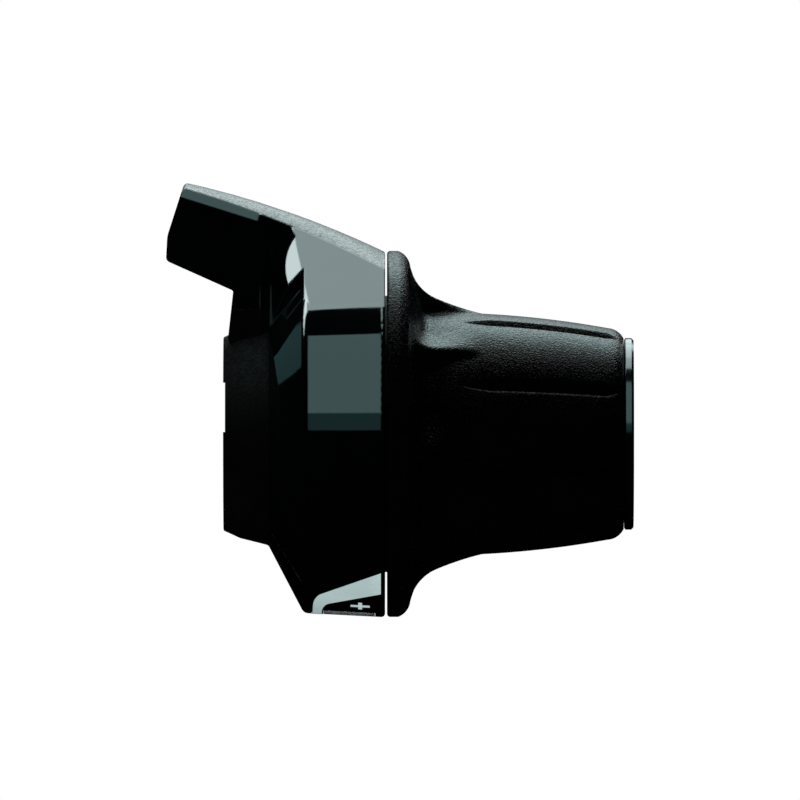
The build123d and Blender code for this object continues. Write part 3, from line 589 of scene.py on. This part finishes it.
# %% Make the grip
def ring_of(name, mesh, copies, axis, centre, finish):
    """Object made of copies of a mesh turned about an axis, as one plain mesh."""
    piece = bpy.data.objects.new(name, mesh)
    bpy.context.scene.collection.objects.link(piece)
    modifier = piece.modifiers.new("ring", "NODES")
    modifier.node_group = ring_tree
    for label, value in (("Copies", copies), ("Axis", axis), ("Centre", centre), ("Finish", finish)):
        modifier[ring_inputs[label]] = value
    evaluated = piece.evaluated_get(bpy.context.evaluated_depsgraph_get())
    plain = bpy.data.meshes.new_from_object(evaluated)
    piece.modifiers.clear()
    piece.data = plain
    piece.data.name = name
    return piece


grip = ring_of("lobed_grip", lobe_mesh, LOBES, (1.0, 0.0, 0.0), (0.0, 0.0, 0.0), grip_finish)
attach(grip, "grip")
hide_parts("grip_rubber")
print("grip:", len(grip.data.polygons), "faces")

# %% [markdown]
# ## Marks round the gear window
# The numbers are thin raised print on a strip under the window. A texture could show them, but as geometry
# they are part of the mesh itself. Each one starts as flat text, is cut into bands, and is bent round the
# strip: its width stays along the handlebar, and its height becomes an angle.
# The gears run from 7 at the top of the window, next to the plus sign, to 1 at its far end.

# %% Print the gear numbers
GEARS = 7
CLICK = 12.0
FIRST_GEAR_ANGLE = -85.5
STRIP_R = 26.55
PRINT = 0.03
BAND = 0.4
LETTER = 4.2


def cut_in_bands(mesh, height):
    """Cut a flat mesh across into narrow bands, so that it follows the drum when it is bent."""
    cutter = bmesh.new()
    cutter.from_mesh(mesh)
    for level in np.arange(-height / 2, height / 2, BAND):
        everything = [*cutter.verts, *cutter.edges, *cutter.faces]
        bmesh.ops.bisect_plane(cutter, geom=everything, plane_co=(0, level, 0), plane_no=(0, 1, 0))
    cutter.to_mesh(mesh)
    cutter.free()


def wrap(mesh, at_x, at_angle, radius, flare=0.0):
    """Bend a flat mesh in millimetres round the handlebar; flare widens the radius along it."""
    for vertex in mesh.vertices:
        across, up, out = vertex.co
        phi = math.radians(at_angle) + up / radius
        r = radius + out + flare * across
        vertex.co = Vector((at_x + across, -r * math.cos(phi), r * math.sin(phi))) * MM
    mesh.update()


def printed(name, mesh, body):
    """Finish a mark as a piece that moves with its carrier."""
    mesh.materials.append(pale_print)
    piece = bpy.data.objects.new(name, mesh)
    bpy.context.scene.collection.objects.link(piece)
    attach(piece, body)
    return piece


strip_low, strip_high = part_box("number_strip")
strip_x = (strip_low.x + strip_high.x) / 2 / MM
numbers = []
for gear in range(1, GEARS + 1):
    letter = bpy.data.curves.new(f"gear_{gear}", "FONT")
    letter.body = str(gear)
    letter.align_x = "CENTER"
    letter.align_y = "CENTER"
    letter.size = LETTER
    letter.extrude = PRINT
    drawn = bpy.data.objects.new(f"gear_{gear}_flat", letter)
    digit = bpy.data.meshes.new_from_object(drawn)
    bpy.data.objects.remove(drawn)
    cut_in_bands(digit, LETTER)
    wrap(digit, strip_x, FIRST_GEAR_ANGLE - CLICK * (GEARS - gear), STRIP_R)
    numbers.append(printed(f"gear_{gear}", digit, "bracket"))
print("numbers:", len(numbers))

# %% [markdown]
# The plus and minus signs at the two ends of the window are printed on the drum itself. They are
# plain bars, so they are built with their cuts straight away, and no text is needed. The drum widens
# a little towards the grip, and the bars follow that, or one end would sink in.

# %% Print the plus and minus signs
DRUM_X0, DRUM_R0, DRUM_FLARE = 12.55, 28.0, 0.0512
SIGN_X = 21.36
SIGN_ANGLE = -70.8
MID_ANGLE = FIRST_GEAR_ANGLE - CLICK * (GEARS - 1) / 2
LEVEL_BAR, UPRIGHT_BAR = (3.0, 0.9), (0.64, 3.1)


def flat_bars(name, bars):
    """Flat closed bars on one middle, each given by width and height, with enough cuts to bend."""
    vertices, faces = [], []
    for width, height in bars:
        cuts = max(2, int(height / BAND) + 1)
        first = len(vertices)
        for level in np.linspace(-height / 2, height / 2, cuts):
            base = len(vertices)
            for side, out in ((-1, -PRINT), (1, -PRINT), (1, PRINT), (-1, PRINT)):
                vertices.append((side * width / 2, level, out))
            if base > first:
                below = base - 4
                faces += [(below + i, below + (i + 1) % 4, base + (i + 1) % 4, base + i) for i in range(4)]
        faces += [(first + 3, first + 2, first + 1, first), tuple(range(len(vertices) - 4, len(vertices)))]
    mesh = bpy.data.meshes.new(name)
    mesh.from_pydata(vertices, [], faces)
    return mesh


sign_r = DRUM_R0 + DRUM_FLARE * (SIGN_X - DRUM_X0)
signs = []
for name, angle, bars in (
    ("plus_sign", SIGN_ANGLE, [LEVEL_BAR, UPRIGHT_BAR]),
    ("minus_sign", 2 * MID_ANGLE - SIGN_ANGLE, [LEVEL_BAR]),
):
    sign = flat_bars(name, bars)
    wrap(sign, SIGN_X, angle, sign_r, DRUM_FLARE)
    signs.append(printed(name, sign, "bracket"))
print("signs:", [sign.name for sign in signs])

# %% [markdown]
# ## The knurled screw head
# A clamp screw has a knurled head so that fingers can start it. A bump texture would leave its outline
# smooth, so the knurl is one small ridge that the ring of copies repeats round the head.

# %% Knurl the clamp screw
KNURLS = 30
RIDGE_HALF, RIDGE_OUT, RIDGE_IN = 0.2, 0.11, 0.05
RIDGE_FROM, RIDGE_TO = 0.55, 3.6
bolt_low, bolt_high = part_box("clamp_bolt")
head_centre = Vector(((bolt_low.x + bolt_high.x) / 2, (bolt_low.y + bolt_high.y) / 2, 0.0))
head_r = (bolt_high.x - bolt_low.x) / 2 / MM
section = [(head_r - RIDGE_IN, -RIDGE_HALF), (head_r + RIDGE_OUT, 0.0), (head_r - RIDGE_IN, RIDGE_HALF)]
levels = (bolt_low.z / MM + RIDGE_FROM, bolt_low.z / MM + RIDGE_TO)
ridge_points = [(out * MM, aside * MM, z * MM) for z in levels for out, aside in section]
ridge_faces = [(0, 1, 4, 3), (1, 2, 5, 4), (2, 0, 3, 5), (2, 1, 0), (3, 4, 5)]
ridge = bpy.data.meshes.new("knurl_ridge")
ridge.from_pydata(ridge_points, [], ridge_faces)
knurl = ring_of("screw_knurl", ridge, KNURLS, (0.0, 0.0, 1.0), tuple(head_centre), zinc_steel)
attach(knurl, "bracket")
print("knurl:", KNURLS, "ridges")

# %% [markdown]
# ## The studio
# A black glossy thing is lit by what it mirrors. A box in front gives the calm grey panel on the drum,
# and a dim teal strip under it softens the panel's lower end. One large lamp would put the same light
# on everything, so each lamp here is linked only to the pieces that it is meant for. A lamp is given
# by the heights it covers, from 0 at the front over 90 overhead to 180 behind, so it can be read
# straight off the reflections.

# %% Light the glossy front
TEAL = (0.4, 0.95, 1.0)
aim = Vector((middle_x, 0.0, 0.0))


def panel_lamp(name, towards, distance, width, height, radiance, colour, only):
    """Area lamp in a direction from the object, turned to it, with a given brightness of its surface."""
    lamp = bpy.data.lights.new(name, "AREA")
    lamp.shape = "RECTANGLE"
    lamp.size = width
    lamp.size_y = height
    lamp.energy = radiance * math.pi * width * height
    lamp.color = colour
    holder = bpy.data.objects.new(name, lamp)
    holder.location = aim + distance * Vector(towards).normalized()
    holder.rotation_euler = (aim - holder.location).to_track_quat("-Z", "Y").to_euler()
    holder.visible_camera = False
    bpy.context.scene.collection.objects.link(holder)
    holder.light_linking.receiver_collection = only
    return holder


def softbox(name, low, high, distance, width, shift, radiance, colour, only):
    """Lamp that covers heights low to high as seen from the object, and lies square to the handlebar."""
    middle = math.radians((low + high) / 2)
    tall = 2 * distance * math.tan(math.radians((high - low) / 2))
    towards = Vector((0.0, -math.cos(middle), math.sin(middle)))
    holder = panel_lamp(name, towards, distance, width, tall, radiance, colour, only)
    holder.location.x += shift
    holder.rotation_euler = (math.radians(90) - middle, 0.0, 0.0)


def lit_group(name, pieces):
    """Collection of the pieces that a lamp is linked to."""
    group = bpy.data.collections.new(name)
    for piece in pieces:
        group.objects.link(piece)
    return group


mirrors = lit_group("front_lit", [nodes[name] for name in ("front_cover", "end_ring", "indicator_window")])
softbox("front_box", 13, 65, 0.6, 0.22, 0.0, 1.0, (0.6, 0.97, 1.0), mirrors)
softbox("front_strip", 2.4, 13, 1.45, 0.53, 0.0, 0.24, TEAL, mirrors)

# %% [markdown]
# A bank of four lamps overhead and behind lights the hard pieces: the satin roof of the arm, the flank
# of the cover and the metal. It is brightest in its middle and steps down towards both ends, so the
# reflections fade as they do under a curved studio ceiling.

# %% Light the hard pieces
SKY = (0.76, 0.99, 1.0)
hard_parts = lit_group("hard_lit", [*nodes.values(), *numbers, *signs, knurl])
softbox("hard_top", 85, 104, 0.7, 0.7, 0.03, 2.0, (0.68, 0.99, 1.0), hard_parts)
softbox("hard_back", 104, 136, 0.7, 0.6, 0.1, 3.1, SKY, hard_parts)
softbox("hard_far", 136, 152, 0.7, 0.6, 0.12, 2.0, SKY, hard_parts)
softbox("hard_low", 152, 162, 0.7, 0.6, 0.12, 1.0, SKY, hard_parts)

# %% [markdown]
# The rubber could share that bank, but it is rough and spreads every highlight, so the sides of the
# lobes would turn grey. It has a bank of its own that starts further back and ends sooner.

# %% Light the rubber
SOFT_SKY = (0.64, 0.99, 1.0)
soft_parts = lit_group("soft_lit", [grip])
softbox("soft_top", 104, 116, 0.7, 0.7, -0.04, 0.3, SOFT_SKY, soft_parts)
softbox("soft_back", 116, 136, 0.7, 0.7, -0.04, 2.9, SOFT_SKY, soft_parts)
softbox("soft_far", 136, 148, 0.7, 0.7, -0.04, 1.8, SOFT_SKY, soft_parts)
print("ceiling lamps for", grip.name)

# %% [markdown]
# Three small lamps finish the light. An edge light high on the left gives the bright patch beside the
# shoulder. A kicker low in front, which casts no shadow, keeps the silver frame and the signs pale.
# A dim teal card behind shows as a faint patch on the cone of the cover. Brighter main lamps could
# reach these places too, but they would wash out the black round them.

# %% Add the small lamps
CARD_AZIMUTH, CARD_HEIGHT, CARD_DISTANCE = math.radians(42), math.radians(8), 0.8
CARD_WIDE, CARD_TALL = math.radians(20), math.radians(11)
panel_lamp("edge_light", (-0.57, 0.1, 0.81), 0.7, 0.17, 0.45, 7.0, (0.84, 0.99, 1.0), mirrors)

prints = lit_group("print_lit", [nodes["indicator_bezel"], *signs])
kicker = panel_lamp("print_kicker", (0.0, -0.7, -0.75), 0.7, 0.4, 0.4, 8.0, (0.86, 1.0, 1.0), prints)
kicker.data.use_shadow = False

to_card = (
    -math.sin(CARD_AZIMUTH) * math.cos(CARD_HEIGHT),
    math.cos(CARD_AZIMUTH) * math.cos(CARD_HEIGHT),
    math.sin(CARD_HEIGHT),
)
card_size = [2 * CARD_DISTANCE * math.tan(angle / 2) for angle in (CARD_WIDE, CARD_TALL)]
panel_lamp("teal_card", to_card, CARD_DISTANCE, *card_size, 0.16, TEAL, mirrors)

# %% [markdown]
# The backdrop is plain white. A large white wall would throw light on the part from all sides, so the
# world does it instead: the camera, mirrors and glass see it white, and for all other light it is a
# faint glow.

# %% Whiten the backdrop
AMBIENT = 0.12


def combine(tree, operation, first, second):
    """Math node on two sockets."""
    node = tree.nodes.new("ShaderNodeMath")
    node.operation = operation
    tree.links.new(first, node.inputs[0])
    tree.links.new(second, node.inputs[1])
    return node.outputs[0]


world = bpy.data.worlds.new("studio")
world.use_nodes = True
bpy.context.scene.world = world
tree = world.node_tree
paths = tree.nodes.new("ShaderNodeLightPath").outputs
mirrored = combine(tree, "MAXIMUM", paths["Is Glossy Ray"], paths["Is Transmission Ray"])
seen = combine(tree, "MAXIMUM", paths["Is Camera Ray"], mirrored)
level = add(tree, "ShaderNodeMapRange", {"Value": seen}, To_Min=AMBIENT, To_Max=1.0)
tree.links.new(level.outputs["Result"], tree.nodes["Background"].inputs["Strength"])
tree.nodes["Background"].inputs["Color"].default_value = (1.0, 1.0, 1.0, 1.0)
print("backdrop:", world.name)

# %% [markdown]
# The floor is a pale disc well below the part. It fades into the backdrop at its rim, so no edge shows,
# and from below it is clear, so the underside can be looked at. A lamp of its own lights it, because
# the tinted lamps of the part would colour it.

# %% Lay the floor
FLOOR_Z = -0.07
FLOOR_R = 0.34
FADE_FROM = 0.1
floor_place = (middle_x, 0.0, FLOOR_Z)
bpy.ops.mesh.primitive_circle_add(vertices=96, radius=FLOOR_R, fill_type="NGON", location=floor_place)
floor = bpy.context.object
floor.name = "floor"
floor_finish = bpy.data.materials.new("pale_floor")
floor_finish.use_nodes = True
tree = floor_finish.node_tree
shader = tree.nodes["Principled BSDF"]
shader.inputs["Base Color"].default_value = (0.9, 0.9, 0.9, 1.0)
shader.inputs["Roughness"].default_value = 0.9
shader.inputs["Specular IOR Level"].default_value = 0.0
coordinates = tree.nodes.new("ShaderNodeTexCoord")
reach = tree.nodes.new("ShaderNodeVectorMath")
reach.operation = "LENGTH"
tree.links.new(coordinates.outputs["Object"], reach.inputs[0])
fade = add(tree, "ShaderNodeMapRange", {"Value": reach.outputs["Value"]}, To_Min=1.0, To_Max=0.0)
fade.inputs["From Min"].default_value = FADE_FROM
fade.inputs["From Max"].default_value = FLOOR_R
fade.interpolation_type = "SMOOTHERSTEP"
underside = tree.nodes.new("ShaderNodeNewGeometry").outputs["Backfacing"]
from_above = combine(tree, "GREATER_THAN", fade.outputs["Result"], underside)
seen_part = combine(tree, "MULTIPLY", fade.outputs["Result"], from_above)
tree.links.new(seen_part, shader.inputs["Alpha"])
floor.data.materials.append(floor_finish)
floor.visible_glossy = False
floor.visible_diffuse = False
floor_lit = lit_group("floor_lit", [floor])
panel_lamp("floor_light", (0.0, 0.0, 1.0), 0.7, 0.5, 0.5, 6.5, (1.0, 1.0, 1.0), floor_lit)
print("floor radius in mm:", FLOOR_R / MM)

# %% [markdown]
# Gloss in front of a white backdrop would mirror white all round. Photographers hang black cloth where
# the gloss has to stay black, and so does this scene: in front, below, low behind and at both sides.
# Only reflections can see the cloth, so it casts no shadow and never shows in a picture itself.

# %% Hang the dark cloth
CLOTH_R = 1.6
CLOTH_HALF = 0.8
CLOTH_FROM, CLOTH_TO = 86, -200


def cloth_point(side, height):
    """Point of the cloth at one side of the part and a height angle."""
    return (middle_x + side * CLOTH_HALF, -CLOTH_R * math.cos(height), CLOTH_R * math.sin(height))


heights = np.radians(np.linspace(CLOTH_FROM, CLOTH_TO, 60))
count = len(heights)
cloth_points = [cloth_point(side, height) for side in (-1, 1) for height in heights]
cloth_faces = [(i, i + 1, count + i + 1, count + i) for i in range(count - 1)]
rim_heights = np.radians(np.linspace(180, -180, 60, endpoint=False))
for side in (-1, 1):
    first = len(cloth_points)
    cloth_points += [cloth_point(side, height) for height in rim_heights]
    cloth_faces.append(tuple(range(first, first + len(rim_heights))))
cloth_mesh = bpy.data.meshes.new("dark_cloth")
cloth_mesh.from_pydata(cloth_points, [], cloth_faces)
velvet = moulded("dark_velvet", (0.001, 0.001, 0.001), (0.002, 0.002, 0.002), (0.9, 1.0), specular=0.0)
cloth_mesh.materials.append(velvet)
cloth = bpy.data.objects.new("dark_cloth", cloth_mesh)
bpy.context.scene.collection.objects.link(cloth)
cloth.visible_camera = False
cloth.visible_diffuse = False
cloth.visible_shadow = False
cloth.visible_transmission = False
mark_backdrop(floor, cloth)
print("cloth faces:", len(cloth_faces))

# %% [markdown]
# ## Finish
# Colours are shown as they are written, with the plain view transform. The box of the dressed part is set
# against that of the solid pieces, and the change is printed at the end. The dressed part must not
# outgrow the solid one.

# %% Compare the boxes and finish
bpy.context.scene.view_settings.view_transform = "Standard"
dressed_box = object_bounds()
growth = [dressed - solid for dressed, solid in zip(dressed_box, solid_box)]
print("box change in mm:", [[round(side / MM, 3) for side in corner] for corner in growth])
